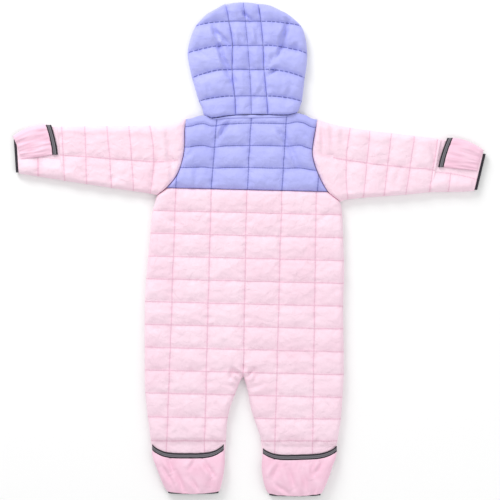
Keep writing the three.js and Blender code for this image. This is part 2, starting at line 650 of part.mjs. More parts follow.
function toManifold(geometry) {
  geometry.deleteAttribute('normal');
  geometry.deleteAttribute('uv');
  const merged = mergeVertices(geometry, 1e-4);
  return new wasm.Manifold(new wasm.Mesh({
    numProp: 3,
    vertProperties: new Float32Array(merged.attributes.position.array),
    triVerts: new Uint32Array(merged.index.array),
  }));
}

function fromManifold(solid) {
  const { vertProperties, triVerts } = solid.getMesh();
  const geometry = new THREE.BufferGeometry();
  geometry.setAttribute('position', new THREE.Float32BufferAttribute(vertProperties, 3));
  geometry.setIndex(Array.from(triVerts));
  return geometry;
}

// Slider: two plates round the head of the chain, and a bridge below that carries the pull tab
const SLIDER_Y = 198;                     // the bridge's axis along the zip
const BRIDGE_Z = 3.65;                    // height of the pull tab's hinge
function addSlider() {
  const front = SLIDER_Y - 8;
  const back = SLIDER_Y + 9;
  const chainEnd = ZIP_TOP - 3 + SEAM_GAP;
  const plates = acrossZip(outline([
    [front, 4.4], [back, 4.4], [back, 8.6], [front, 8.6], [front, 7.7],
    [chainEnd, 7.7], [chainEnd, 5.3], [front, 5.3],
  ]), 8);
  const loop = outline([
    [SLIDER_Y - 1.6, 2.1], [SLIDER_Y + 1.6, 2.1], [SLIDER_Y + 1.6, 4.7], [SLIDER_Y - 1.6, 4.7],
  ]);
  loop.holes.push(new THREE.Path([
    [SLIDER_Y - 0.85, 2.85], [SLIDER_Y - 0.85, 4.4], [SLIDER_Y + 0.85, 4.4], [SLIDER_Y + 0.85, 2.85],
  ].map(([x, y]) => new THREE.Vector2(x, y))));
  const slider = toManifold(plates).add(toManifold(acrossZip(loop, 2)));
  addPiece('zip_slider', fromManifold(slider), 'paintedZinc');
}

function addPullTab() {
  const thickness = 0.9;
  const tab = new THREE.Shape();
  tab.moveTo(-2.4, 0.45);
  tab.lineTo(2.4, 0.45);
  tab.lineTo(3.2, -6);
  tab.lineTo(2.9, -16);
  tab.quadraticCurveTo(0, -21, -2.9, -16);
  tab.lineTo(-3.2, -6);
  tab.closePath();
  const slot = new THREE.Path([[-1.5, -0.45], [-1.5, -4.4], [1.5, -4.4], [1.5, -0.45]]
    .map(([x, y]) => new THREE.Vector2(x, y)));
  tab.holes.push(slot);
  const geometry = new THREE.ExtrudeGeometry(tab, { depth: thickness, bevelEnabled: false, curveSegments: 10 });
  geometry.translate(ZIP_X, SLIDER_Y, BRIDGE_Z - thickness / 2);
  addPiece('zip_pull', geometry, 'paintedZinc');
}

addBack();
FEET.forEach((foot) => addFront(foot));
addYoke();
addNeckStrip();
addHoodCentre();
addHoodSide('left');
addHoodSide('right');
addSleeve('left', SLEEVE_LEFT, CUFF_LEFT);
addSleeve('right', SLEEVE_RIGHT, CUFF_RIGHT);
FEET.forEach((foot) => addFoot(foot));
addHand({
  side: 'left',
  band: { topX: -316.5, topY: 197.6, lowX: -305.8, lowY: 152, bow: 1 },
  end: { topX: -378, topY: 181.5, lowX: -366, lowY: 144, bow: -4 },
  cuffEnd: CUFF_LEFT[3],
  bulge: 5,
});
addHand({
  side: 'right',
  band: { topX: 315.8, topY: 176.8, lowX: 301, lowY: 132, bow: 1 },
  end: { topX: 374, topY: 159, lowX: 364.5, lowY: 126.5, bow: 1 },
  cuffEnd: CUFF_RIGHT[3],
  bulge: 4,
});
addZip();
addSlider();
addPullTab();

// The origin is under the middle of the whole garment, on the surface it lies on
const whole = new THREE.Box3().setFromObject(snowsuit);
const middle = whole.getCenter(new THREE.Vector3());
snowsuit.position.set(-middle.x, -middle.y, -whole.min.z);

export default snowsuit;
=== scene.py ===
# A baby's padded snowsuit laid out flat on its front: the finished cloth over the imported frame.
# Tables and sizes are in millimetres in the pattern's own frame; PATTERN moves them to the part's.
import math

import bmesh
import bpy
from mathutils import Matrix, Vector, noise


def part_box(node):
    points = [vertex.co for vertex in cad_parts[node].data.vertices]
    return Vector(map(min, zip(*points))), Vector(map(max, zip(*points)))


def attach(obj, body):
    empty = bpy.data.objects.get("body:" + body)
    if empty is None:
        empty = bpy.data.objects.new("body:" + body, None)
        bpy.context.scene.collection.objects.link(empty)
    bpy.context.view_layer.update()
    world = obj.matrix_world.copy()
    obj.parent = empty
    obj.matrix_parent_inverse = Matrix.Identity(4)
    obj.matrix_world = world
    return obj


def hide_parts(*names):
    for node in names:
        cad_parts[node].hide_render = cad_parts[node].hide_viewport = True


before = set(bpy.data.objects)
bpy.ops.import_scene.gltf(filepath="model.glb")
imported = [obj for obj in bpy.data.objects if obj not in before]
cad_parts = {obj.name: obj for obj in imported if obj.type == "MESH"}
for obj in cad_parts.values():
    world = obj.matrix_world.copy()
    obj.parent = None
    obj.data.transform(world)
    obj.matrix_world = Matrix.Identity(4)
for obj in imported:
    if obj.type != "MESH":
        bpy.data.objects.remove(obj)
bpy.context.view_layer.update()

MM = 0.001
PATTERN = Vector((0.703, -1.308, 0.0))   # from the pattern's origin to the part's, in mm

# ---- the cut, as it lies ---------------------------------------------------------------------
FRONT_TOP = 6.2          # the front layer lies from the surface to here
FOLD = 6.9               # height of a folded or seamed edge
BACK_UNDER = 7.6         # underside of the back layer
YOKE_UNDER = 9.0
STITCH_TOP = 12.6        # top of the padding on a stitch line
PUFF_TOP = 16.2          # top of the padding in the middle of a cell
HELD_TOP = 10.4          # top of the cloth that an elastic pocket lies over
QUILT_ROW = 36.4
QUILT_CELL = 56.3
FALL = 0.024
YOKE_SEAM = 96.0
CROTCH = -200.8
ZIP_X = -3.0
ZIP_TOP = 202.0
ZIP_BOTTOM = -147.0
GROOVE = 5.0
BAND_WIDTH = 9.0
STEP = 2.6               # grid of the finished cloth
FRONT_STEP = 3.4
YOKE_STEP = 2.2
FRONT_NECK = 206.0
YOKE_HEIGHT = 116.0
HOOD_BASE = 216.0        # the hood's lower edge, before it is bent to the neck seam
SIDE_TOP = 392.5         # upper edge of the hood's side panels
CROWN_TOP = 396.0        # where the hood's centre panel turns under
CROWN_HELD = 389.0       # its width is held from here on
SEWN_EDGE = 0.3          # half the ditch between two pieces
FAR = 999.0              # a distance that no edge is within
DOME_POWER = 0.62
PUCKER_DEPTH = 2.3
PUCKER_PITCH = 8.0
PUCKER_REACH = 7.0
BODY_DEEPEN, PANEL_DEEPEN, FOOT_DEEPEN = 1.5, 1.6, 1.4   # times the depth in the crease tables
FOOT_BAND_LINE = {"left": -309.0, "right": -313.0}       # y where the elastic starts to hold the leg
BODY_HALF = 160.0        # half the width of the body, for its grid
SLEEVE_ROW = 35.0        # from one stitch line round the sleeve to the next
TO_ARMHOLE = 0.9         # of a section, from the first tabled one to the armhole
ARM_WIDTH, CUFF_WIDTH = 112.0, 62.0
FOOT_MOUTH, HAND_MOUTH = 114, 46      # length of each elastic
LIFT = HELD_TOP + 0.6    # underside of what lies over a leg or sleeve
BAND_WALL_UNDER, BAND_WALL_TOP = 0.5, 1.6     # above LIFT
TOOTH = (3.4, 1.5, 1.7)
TOOTH_PITCH = 2.4

SIDES = [  # y, left, right
    (99, -132.6, 117), (92.8, -140.4, 124.5), (87.7, -146.5, 131), (76.8, -150.5, 144),
    (54, -156, 148), (16, -159, 149.6), (-35, -164, 151), (-86, -167, 149.6), (-201, -167, 150.4),
    (-227, -166.4, 148.8), (-278, -160.8, 144.8), (-330, -153, 135), (-355, -144.4, 128.4),
    (-381, -133, 118), (-395, -122, 110),
]
INSEAM = [  # y, left leg, right leg
    (-200.8, -10, -10), (-213, -16.5, -6), (-227, -21.6, -2.4), (-253, -31.2, 2.4),
    (-278, -36, 10.4), (-304, -37.6, 18.4), (-355, -42, 21), (-381, -47.6, 26.8), (-395, -53, 36),
]
ARMHOLE = {  # y, x from the shoulder to the underarm
    "left": [
        (209.1, -101), (192, -103), (169, -103.2), (146.9, -106), (118.4, -116.3), (99, -132.6),
        (87.7, -146.9),
    ],
    "right": [
        (208.2, 108.2), (192, 105), (169.4, 101), (150, 100.4), (124.5, 108.2), (93.5, 124.5),
        (76.8, 144.5),
    ],
}
SHOULDER = [  # x, y from left to right
    (-101, 209.1), (-73, 214.5), (-60, 210.2), (-36, 213.6), (3, 215.7), (60, 215), (78, 218),
    (108.2, 208.2),
]
COLUMNS = [(-117.3, -128), (-61, -69), (-4.6, -10), (51.7, 43.5), (106.4, 102)]  # x at yoke, at crotch
YOKE_ROWS = [0.0, 0.295, 0.59, 0.89]
YOKE_COLUMNS = [(-52, -61), (3, -3.5), (59, 52)]  # x at neck, at body seam
HOOD = [  # y, left, seam left, centre, seam right, right, face left, face right, drop
    (216, -73, -21.9, 3, 29.4, 76, -16, 10, 0), (231, -76, -22.6, 2.7, 28.4, 80, -30, 24, 4),
    (245.6, -80.8, -23.2, 2.4, 27.4, 83.4, -40, 34, 8), (267, -86.5, -26, 1.3, 25.2, 86, -48, 42, 10),
    (288, -91.8, -27.7, 0.2, 23, 88, -53, 47, 13), (307, -96, -27.4, -1.2, 22.3, 91, -55, 49, 13),
    (326.4, -98.8, -26.9, -2.6, 21.6, 92, -54, 48, 12), (346, -94.8, -29, -4.5, 20, 89.6, -48, 41, 10),
    (364.8, -85.6, -32.6, -6.4, 18.1, 82, -37, 20, 7), (379, -69, -35, -8, 16.4, 62, -35.6, 17, 3),
    (389, -56, -37, -9.6, 14.8, 48.5, -37.6, 15.4, 6),
    (392.5, -45, -37.4, -10, 14.5, 36, -39, 15.6, 3.2),
]
SLEEVE = {  # top x, top y, low x, low y, bow, stitch count up to here
    "left": [
        (-133.6, 199.4, -151.6, 88.6, 14, 0.4), (-159.2, 198.7, -158.8, 90.1, 6, 1),
        (-192.8, 198.2, -185.3, 94.1, 1, 2), (-227.8, 197.9, -220.5, 99.2, 1, 3),
        (-262.9, 197.6, -259.7, 105.3, 0, 4), (-299.7, 197.3, -294.7, 110.4, 0, 5),
        (-309, 197.2, -302, 112, 0, 5.3), (-328, 197.2, -325, 115.5, 0, 5.8),
        (-350, 194, -347, 119, 0, 6.2), (-372, 178.5, -368.4, 122.2, 0, 6.9),
    ],
    "right": [
        (130.4, 201, 149.6, 79.4, -14, 0.4), (161.1, 195.2, 157, 80.8, -5, 1),
        (192.2, 190.4, 181.6, 83.5, 0, 2), (226.4, 186.4, 214.6, 85.9, 0, 3),
        (263.2, 182.1, 249.3, 88.5, 0, 4), (299.8, 177.1, 286.9, 92.2, 0, 5),
        (309, 176, 291, 92.4, 0, 5.3), (328, 174, 317, 92.8, 0, 6), (351, 166.5, 340, 93.2, 0, 6.6),
        (373.2, 155.4, 358.6, 94.4, 0, 6.9),
    ],
}
FEET = {  # left, left y, right, right y, sag, end
    "left": (-155.4, -310, -41, -310, 14, -385),
    "right": (21.3, -316, 139.4, -312.5, 12, -388.6),
}
HANDS = {  # band top, band low, cover end top, cover end low, bulge
    "left": ((-316.5, 197.6), (-305.8, 152), (-378, 181.5), (-366, 144), 5.5),
    "right": ((315.8, 176.8), (301, 132), (374, 159), (364.5, 126.5), 4.5),
}
# Creases: from x, y to x, y, then depth and half width
HOOD_CREASES = [
    (-57, 357, -51, 335, 4.4, 3.6), (-51, 335, -40, 298, 3.8, 3.4), (-53, 347, -31, 327, 4, 3.6),
    (-44, 309, -27, 270, 3.6, 4.4), (62, 366, 52, 326, 4.4, 4.4), (52, 326, 42, 303, 3.8, 3.6),
    (39, 317, 34, 298, 3, 3.4), (45, 290, 30, 277, 3.4, 3.6), (-8, 376, 3, 366, 3.4, 2.6),
    (-12, 384, -6, 372, 2.6, 2.4), (8, 352, 14, 330, 2.4, 3), (-18, 350, -12, 322, 2.2, 3),
    (-70, 270, -58, 246, 1.6, 4), (66, 262, 58, 240, 1.6, 4), (20, 262, 9, 240, 1.2, 3),
    (-86, 320, -66, 306, 1.6, 4), (80, 330, 66, 318, 1.4, 4),
]
YOKE_CREASES = [
    (-33, 204, -49, 178, 3.8, 3.6), (45, 194, 57, 178, 3.2, 3.6), (57, 178, 79, 133, 3, 4.4),
    (-88, 160, -104, 147, 1.6, 4), (-83, 132, -88, 101, 1.8, 4), (-24, 168, -12, 150, 1, 4),
    (84, 190, 96, 168, 1.4, 4), (20, 120, 34, 108, 1, 4),
]
BODY_CREASES = [
    (-12, -204, -27, -190, 3, 3), (-27, -190, -31, -206, 2.4, 3), (-6, -204, 8, -190, 3, 3),
    (8, -190, 11, -208, 2.4, 3), (-9, -199, -10, -178, 2.2, 3), (-14, -222, -38, -214, 2, 3.4),
    (-15, -214, -34, -200, 2, 3), (-2, -222, 24, -212, 1.4, 4), (-119, -305, -118, -319, 2, 2.5),
    (-60, -300, -58, -312, 1.4, 3), (60, -305, 62, -318, 1.4, 3), (110, -300, 106, -316, 1.2, 3),
    (-140, 60, -120, 40, 1.2, 5), (128, 62, 112, 46, 1, 5), (-165, -120, -140, -128, 1, 5),
    (150, -60, 130, -70, 1, 5),
]
SLEEVE_CREASES = {
    "left": [
        (-133, 196, -121, 106, 2.4, 4), (-146, 160, -150, 120, 1.4, 4), (-300, 190, -306, 160, 1.4, 3),
        (-210, 120, -226, 104, 1.2, 4), (-175, 180, -168, 150, 1.2, 4),
    ],
    "right": [
        (116, 200, 118, 160, 2.2, 4), (131, 200, 134, 168, 2, 4), (147, 196, 150, 166, 1.6, 4),
        (240, 130, 232, 100, 1.2, 4), (290, 170, 296, 140, 1.2, 3),
    ],
}


def mix(a, b, t):
    return a + (b - a) * t


def clamp(value, low=0.0, high=1.0):
    return max(low, min(high, value))


def read(table, value, column):
    """Smooth curve through one column of a table whose first column falls or rises."""
    rising = table[-1][0] > table[0][0]
    i = 1
    while i < len(table) - 1 and (table[i][0] < value if rising else table[i][0] > value):
        i += 1
    low, high = table[i - 1], table[i]
    t = clamp((value - low[0]) / (high[0] - low[0]))
    before, after = table[max(0, i - 2)], table[min(len(table) - 1, i + 1)]
    span = high[0] - low[0]
    start = (high[column] - before[column]) / (high[0] - before[0]) * span
    finish = (after[column] - low[column]) / (after[0] - low[0]) * span
    cube, square = t ** 3, t ** 2
    return ((2 * cube - 3 * square + 1) * low[column] + (cube - 2 * square + t) * start
            + (3 * square - 2 * cube) * high[column] + (cube - square) * finish)


def dome(distance, reach):
    """0 on a stitch line, 1 at and past its reach, steep at first like held wadding."""
    return math.sin(0.5 * math.pi * clamp(distance / reach)) ** DOME_POWER


def roll(distance, reach=11.0):
    """Quarter circle from a folded edge up to the full height."""
    return math.sqrt(max(0.0, 1 - (1 - clamp(distance / reach)) ** 2))


def trough(x, y, creases):
    """Depth of the listed creases at a point: soft, deepest in the middle of each."""
    total = 0.0
    for x0, y0, x1, y1, depth, width in creases:
        if abs(x - 0.5 * (x0 + x1)) > 60 or abs(y - 0.5 * (y0 + y1)) > 70:
            continue
        dx, dy = x1 - x0, y1 - y0
        t = clamp(((x - x0) * dx + (y - y0) * dy) / (dx * dx + dy * dy))
        wander = 2.2 * noise.noise(Vector((x * 0.06, y * 0.06, depth)))
        side = ((x - x0) * dy - (y - y0) * dx) / math.hypot(dx, dy) + wander
        away = math.hypot(x - x0 - t * dx, y - y0 - t * dy)
        near = math.exp(-(side / width) ** 2) if 0 < t < 1 else math.exp(-(away / width) ** 2)
        ridge = 0.45 * math.exp(-((side - 2.1 * width) / width) ** 2) * (1 if 0 < t < 1 else 0)
        total += depth * (0.35 + 0.65 * math.sin(math.pi * clamp(t, 0.05, 0.95))) * (near - ridge)
    return total


def pucker(along, distance, seed):
    """Small gathers that cross a stitch line and die away from it."""
    fade = math.exp(-distance / PUCKER_REACH)
    wave = noise.noise(Vector((along / PUCKER_PITCH, distance / (3.2 * PUCKER_REACH), seed)))
    return PUCKER_DEPTH * wave * fade * clamp(distance / 1.2, 0.3, 1)


def soft_uneven(x, y, seed):
    """Slow unevenness of the wadding and the shell over it."""
    broad = noise.noise(Vector((x / 34, y / 30, seed)))
    fine = noise.noise(Vector((x / 11, y / 9, seed + 7)))
    return 1.1 * broad + 1.0 * fine


def panel(name, columns, rows, top, under, uv, closed=False, tear=None):
    """A closed piece of cloth from one grid: top and under give each face's place in mm.

    closed joins the first and last columns into a tube; tear parts the middle column below that row.
    """
    bm = bmesh.new()
    bmesh.ops.create_grid(bm, x_segments=columns, y_segments=rows, size=1.0)
    if tear is not None:
        split = [e for e in bm.edges
                 if all(abs(v.co.x) < 1e-6 and v.co.y < tear + 1e-6 for v in e.verts)]
        bmesh.ops.split_edges(bm, edges=split)
        for vert in bm.verts:
            if abs(vert.co.x) < 1e-6 and vert.co.y < tear - 1e-6:
                beside = sum(f.calc_center_median().x for f in vert.link_faces)
                vert.co.x = 1e-4 if beside > 0 else -1e-4
    made = bmesh.ops.extrude_face_region(bm, geom=bm.faces[:], use_keep_orig=True)
    for element in made["geom"]:
        if isinstance(element, bmesh.types.BMVert):
            element.co.z = 1.0
    if closed:
        joins = [f for f in bm.faces if all(abs(abs(v.co.x) - 1) < 1e-6 for v in f.verts)
                 and len({v.co.x > 0 for v in f.verts}) == 1]
        bmesh.ops.delete(bm, geom=joins, context="FACES_ONLY")
    layer = bm.loops.layers.uv.new("quilt")
    for face in bm.faces:
        for loop in face.loops:
            flat = loop.vert.co
            loop[layer].uv = uv(0.5 * (flat.x + 1), 0.5 * (flat.y + 1))
    for vert in bm.verts:
        u, v = 0.5 * (vert.co.x + 1), 0.5 * (vert.co.y + 1)
        place = top(u, v) if vert.co.z > 0.5 else under(u, v)
        vert.co = (Vector(place) + PATTERN) * MM
    if closed:
        bmesh.ops.remove_doubles(bm, verts=bm.verts, dist=1e-5)
    bmesh.ops.recalc_face_normals(bm, faces=bm.faces)
    for face in bm.faces:
        face.smooth = True
    return finish_mesh(name, bm)


def finish_mesh(name, bm):
    mesh = bpy.data.meshes.new(name)
    bm.to_mesh(mesh)
    bm.free()
    piece = bpy.data.objects.new(name, mesh)
    bpy.context.scene.collection.objects.link(piece)
    return piece


# ---- materials -------------------------------------------------------------------------------
def colour(code):
    """sRGB hex to linear RGBA."""
    parts = [int(code[i:i + 2], 16) / 255 for i in (1, 3, 5)]
    return tuple(c / 12.92 if c <= 0.04045 else ((c + 0.055) / 1.055) ** 2.4 for c in parts) + (1.0,)


def node(tree, kind, settings=None, **links):
    """Adds a shader node, sets its attributes or inputs, and links sockets into it."""
    made = tree.nodes.new(kind)
    for key, value in (settings or {}).items():
        if isinstance(key, str) and hasattr(made, key) and key not in made.inputs:
            setattr(made, key, value)
        else:
            made.inputs[key].default_value = value
    for key, socket in links.items():
        target = int(key[1:]) if key[0] == "i" and key[1:].isdigit() else key.replace("_", " ")
        tree.links.new(socket, made.inputs[target])
    return made


def grain(tree, place, scale, detail, **more):
    """Noise over the piece: scale is in features per metre."""
    return node(tree, "ShaderNodeTexNoise", {"Scale": scale, "Detail": detail, **more},
                Vector=place.outputs["Object"])


def combine(tree, operation, first, second):
    return node(tree, "ShaderNodeMath", {"operation": operation},
                i0=first.outputs[0], i1=second.outputs[0])


def bumped(tree, height, strength, distance, **below):
    """A bump of the given height in metres, over the one below if there is one."""
    return node(tree, "ShaderNodeBump", {"Strength": strength, "Distance": distance},
                Height=height, **below)


def new_material(name, roughness, sheen=0.0):
    material = bpy.data.materials.new(name)
    material.use_nodes = True
    shader = material.node_tree.nodes["Principled BSDF"]
    shader.inputs["Roughness"].default_value = roughness
    shader.inputs["Sheen Weight"].default_value = sheen
    return material, material.node_tree, shader


FADE_OUT = {"To Min": 1.0, "To Max": 0.0}
RIPPLE_SCALE = 37.647        # puts the shell's shallow ripples 8.3 mm apart
STITCHES_ACROSS, STITCHES_DOWN = 14.0, 21.0     # in one cell, along its column and row lines


def quilted_polyester(name, base, shade, thread):
    """Woven polyester over wadding: matt, a faint sheen, thread lying in its stitch lines, and painted
    shade darkening the cloth in the valleys beside them.
    """
    material, tree, shader = new_material(name, 0.72, 0.15)
    place = node(tree, "ShaderNodeTexCoord")
    uv = node(tree, "ShaderNodeUVMap", {"uv_map": "quilt"})
    wander = grain(tree, place, 34.0, 2.0)
    drawn_in = node(tree, "ShaderNodeVectorMath", {"operation": "MULTIPLY_ADD", 1: (0.05, 0.06, 0.0),
                                                   2: (-0.025, -0.03, 0.0)}, i0=wander.outputs["Color"])
    wavy = node(tree, "ShaderNodeVectorMath", {"operation": "ADD"},
                i0=uv.outputs[0], i1=drawn_in.outputs[0])
    split = node(tree, "ShaderNodeSeparateXYZ", Vector=wavy.outputs[0])
    lines = []
    for axis, cell, dash in (("X", QUILT_CELL, STITCHES_ACROSS), ("Y", QUILT_ROW, STITCHES_DOWN)):
        nearest = node(tree, "ShaderNodeMath", {"operation": "PINGPONG", 1: 0.5},
                       i0=split.outputs[axis])
        width = node(tree, "ShaderNodeMapRange",
                     {"From Min": 0.3 / cell, "From Max": 1.3 / cell, **FADE_OUT},
                     Value=nearest.outputs[0])
        # Painted shade: within 7 mm of each stitch line the colour is mixed towards the shade colour,
        # standing in for the shadow in the quilting's valleys.
        valley_shade = node(tree, "ShaderNodeMapRange",
                    {"From Min": 0.0, "From Max": 7.0 / cell, "interpolation_type": "SMOOTHSTEP",
                     **FADE_OUT}, Value=nearest.outputs[0])
        other = split.outputs["Y" if axis == "X" else "X"]
        beat = node(tree, "ShaderNodeMath", {"operation": "MULTIPLY", 1: dash}, i0=other)
        pulse = node(tree, "ShaderNodeMath", {"operation": "PINGPONG", 1: 0.5}, i0=beat.outputs[0])
        stitch = node(tree, "ShaderNodeMapRange", {"From Min": 0.08, "From Max": 0.16},
                      Value=pulse.outputs[0])
        lines.append((combine(tree, "MULTIPLY", width, stitch), valley_shade))
    thread_mask = combine(tree, "MAXIMUM", lines[0][0], lines[1][0])
    valley_shade_mask = combine(tree, "MAXIMUM", lines[0][1], lines[1][1])
    drift = grain(tree, place, 16.0, 3.0)
    tone = node(tree, "ShaderNodeMix", {"data_type": "RGBA", 6: colour(base), 7: colour(shade)},
                i0=drift.outputs["Fac"])
    # Noise varies the strength of the painted valley shade along the lines.
    gather = grain(tree, place, 125.0, 2.0, Distortion=0.6)
    valley_shade_strength = node(tree, "ShaderNodeMapRange",
                   {"From Min": 0.38, "From Max": 0.66, "To Min": 0.08, "To Max": 0.85},
                   Value=gather.outputs["Fac"])
    painted_valley_shade = combine(tree, "MULTIPLY", valley_shade_mask, valley_shade_strength)
    shaded = node(tree, "ShaderNodeMix", {"data_type": "RGBA", 7: colour(shade)},
                  i0=painted_valley_shade.outputs[0], i6=tone.outputs[2])
    threaded = node(tree, "ShaderNodeMix", {"data_type": "RGBA", 7: colour(thread)},
                    i0=thread_mask.outputs[0], i6=shaded.outputs[2])
    tree.links.new(threaded.outputs[2], shader.inputs["Base Color"])
    across, along = (node(tree, "ShaderNodeTexWave", {"Scale": RIPPLE_SCALE, "bands_direction": axis},
                          Vector=place.outputs["Object"]) for axis in "XY")
    ripples = node(tree, "ShaderNodeMath", {"operation": "ADD"},
                   i0=across.outputs["Fac"], i1=along.outputs["Fac"])
    crush = grain(tree, place, 78.0, 5.0, Roughness=0.6, Distortion=0.8)
    ripple_bump = bumped(tree, ripples.outputs[0], 0.12, 0.0002)
    crush_bump = bumped(tree, crush.outputs["Fac"], 0.75, 0.003, Normal=ripple_bump.outputs[0])
    thread_bump = bumped(tree, thread_mask.outputs[0], 0.5, 0.0005, Normal=crush_bump.outputs[0])
    tree.links.new(thread_bump.outputs[0], shader.inputs["Normal"])
    shader.inputs["IOR"].default_value = 1.45
    shader.inputs["Sheen Roughness"].default_value = 0.5
    return material


def thin_polyester(name, base, shade):
    """Unquilted woven polyester of the covers, crushed by its gathers."""
    material, tree, shader = new_material(name, 0.75, 0.15)
    place = node(tree, "ShaderNodeTexCoord")
    drift = grain(tree, place, 45.0, 3.0)
    tone = node(tree, "ShaderNodeMix", {"data_type": "RGBA", 6: colour(base), 7: colour(shade)},
                i0=drift.outputs["Fac"])
    tree.links.new(tone.outputs[2], shader.inputs["Base Color"])
    bump = bumped(tree, grain(tree, place, 120.0, 4.0).outputs["Fac"], 0.35, 0.0015)
    tree.links.new(bump.outputs[0], shader.inputs["Normal"])
    return material


def striped_elastic(name):
    """Ribbed woven elastic: black with a grey middle, light lines along it and ribs across it, with
    painted shade in the grooves between the ribs.
    """
    material, tree, shader = new_material(name, 0.85)
    uv = node(tree, "ShaderNodeUVMap", {"uv_map": "quilt"})
    split = node(tree, "ShaderNodeSeparateXYZ", Vector=uv.outputs[0])
    ramp = node(tree, "ShaderNodeValToRGB", Fac=split.outputs["Y"])
    ramp.color_ramp.interpolation = "EASE"
    marks = [(0.0, "#2a242c"), (0.27, "#29232b"), (0.33, "#a3a0a7"), (0.41, "#524f56"), (0.5, "#77747b"),
             (0.59, "#524f56"), (0.67, "#9c99a0"), (0.73, "#29232b"), (1.0, "#2a242c")]
    ramp.color_ramp.elements[0].color = colour(marks[0][1])
    ramp.color_ramp.elements[1].color = colour(marks[-1][1])
    for spot, code in marks[1:-1]:
        ramp.color_ramp.elements.new(spot).color = colour(code)
    rib = node(tree, "ShaderNodeMath", {"operation": "PINGPONG", 1: 0.5}, i0=split.outputs["X"])
    # Painted shade: the colour is darkened to 0.72 in the grooves between the ribs, where the bump is
    # lowest.
    rib_groove_shade = node(tree, "ShaderNodeMapRange",
               {"From Min": 0.0, "From Max": 0.5, "To Min": 0.72, "To Max": 1.0}, Value=rib.outputs[0])
    shaded = node(tree, "ShaderNodeMix", {"data_type": "RGBA", "blend_type": "MULTIPLY", 0: 1.0},
                  i6=ramp.outputs[0], i7=rib_groove_shade.outputs[0])
    tree.links.new(shaded.outputs[2], shader.inputs["Base Color"])
    bump = bumped(tree, rib.outputs[0], 0.6, 0.0004)
    tree.links.new(bump.outputs[0], shader.inputs["Normal"])
    return material


def plain_finish(name, base, roughness, metallic=0.0):
    """Moulded nylon, woven tape or painted zinc, by its colour, roughness and fine grain."""
    material, tree, shader = new_material(name, roughness)
    place = node(tree, "ShaderNodeTexCoord")
    speck = grain(tree, place, 400.0, 2.0)
    spread = node(tree, "ShaderNodeMapRange", {"To Min": roughness - 0.08, "To Max": roughness + 0.08},
                  Value=speck.outputs["Fac"])
    tree.links.new(spread.outputs[0], shader.inputs["Roughness"])
    bump = bumped(tree, speck.outputs["Fac"], 0.15, 0.0002)
    tree.links.new(bump.outputs[0], shader.inputs["Normal"])
    shader.inputs["Base Color"].default_value = colour(base)
    shader.inputs["Metallic"].default_value = metallic
    return material


PINK = quilted_polyester("quilted pink polyester shell", "#fce5f1", "#f6cfe0", "#eab8ce")
BLUE = quilted_polyester("quilted periwinkle polyester shell", "#c0c3fc", "#a2a5e9", "#6367b8")
COVER = thin_polyester("thin pink polyester", "#f9d7e8", "#f0b9d1")
ELASTIC = striped_elastic("ribbed black elastic")
BINDING = plain_finish("black woven binding", "#2c2630", 0.85)
TAPE = plain_finish("pink woven zip tape", "#efbfd5", 0.85)
NYLON = plain_finish("pink moulded nylon", "#edb4cf", 0.45)
ZINC = plain_finish("pink painted zinc", "#e9adc9", 0.35, 0.1)


def dress(piece, material, nodes):
    piece.data.materials.clear()
    piece.data.materials.append(material)
    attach(piece, "garment")
    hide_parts(*nodes)
    return piece


# ---- body and legs ---------------------------------------------------------------------------
def column_x(index, y):
    top, low = COLUMNS[index]
    return mix(top, low, (YOKE_SEAM - y) / (YOKE_SEAM - CROTCH))


def cell_across(x, lines):
    """Place across the quilting: whole numbers on the lines."""
    for i in range(len(lines) - 1):
        if x <= lines[i + 1] or i == len(lines) - 2:
            return i + (x - lines[i]) / (lines[i + 1] - lines[i])
    return 0.0


def quilt_uv(x, level):
    """Whole numbers on the stitch lines of the body, with one more column past each side."""
    lines = [column_x(0, level) - QUILT_CELL] + [column_x(i, level) for i in range(5)]
    lines.append(column_x(4, level) + QUILT_CELL)
    return cell_across(x, lines), (YOKE_SEAM - level) / QUILT_ROW


def body_place(u, v):
    """Flat place on the back: u runs left to right, the legs either side of 0.5; v, feet to yoke."""
    side = "left" if u < 0.5 else "right"
    level = mix(FEET[side][5], YOKE_SEAM, v)
    index = 1 if side == "left" else 2
    outer = read(SIDES, level, index)
    outer = read(SIDES, level - FALL * outer * clamp((level + 300) / 60), index)
    centre = read(INSEAM, level, index) if level < CROTCH else column_x(2, level)
    t = u * 2 if side == "left" else (1 - u) * 2
    x = mix(outer, centre, t)
    y = level - FALL * x * clamp((level + 300) / 60)
    inner_edge = abs(x - centre) if level < CROTCH else FAR
    return side, level, x, y, abs(x - outer), inner_edge


def quilt_height(x, y, to_row, to_column, seed, extra=0.0):
    swell = dome(to_row, 0.5 * QUILT_ROW) * dome(to_column, 22)
    height = mix(STITCH_TOP - 0.4 * extra, PUFF_TOP + extra, swell)
    height += pucker(x, to_row, seed) + 0.8 * pucker(y, to_column, seed + 3)
    return height + soft_uneven(x, y, seed) * (0.25 + 0.75 * swell)


def body_top(u, v):
    side, level, x, y, to_side, to_inseam = body_place(u, v)
    phase = (YOKE_SEAM - level) / QUILT_ROW
    to_row = abs(phase - round(phase)) * QUILT_ROW
    lines = [column_x(i, level) for i in range(5)]
    to_column = min(abs(x - line) for line in lines)
    height = quilt_height(x, y, to_row, to_column, 1.0) - BODY_DEEPEN * trough(x, y, BODY_CREASES)
    band_at = FOOT_BAND_LINE[side]
    held = clamp((band_at + BAND_WIDTH - level) / BAND_WIDTH)
    height = mix(height, HELD_TOP, held)
    gather = 0.9 * noise.noise(Vector((x / 6.5, 0.0, 4.0))) * math.exp(-abs(level - band_at - 6) / 9)
    height += gather * (1 - held)
    edge = roll(min(to_side, to_inseam)) * mix(0.35, 1, clamp((YOKE_SEAM - level) / 3.5))
    return x, y, BACK_UNDER + 0.6 + (height - BACK_UNDER - 0.6) * max(edge, 0.02)


def body_under(u, v):
    _, _, x, y, _, _ = body_place(u, v)
    return x, y, BACK_UNDER


def body_uv(u, v):
    _, level, x, _, _, _ = body_place(u, v)
    return quilt_uv(x, level)


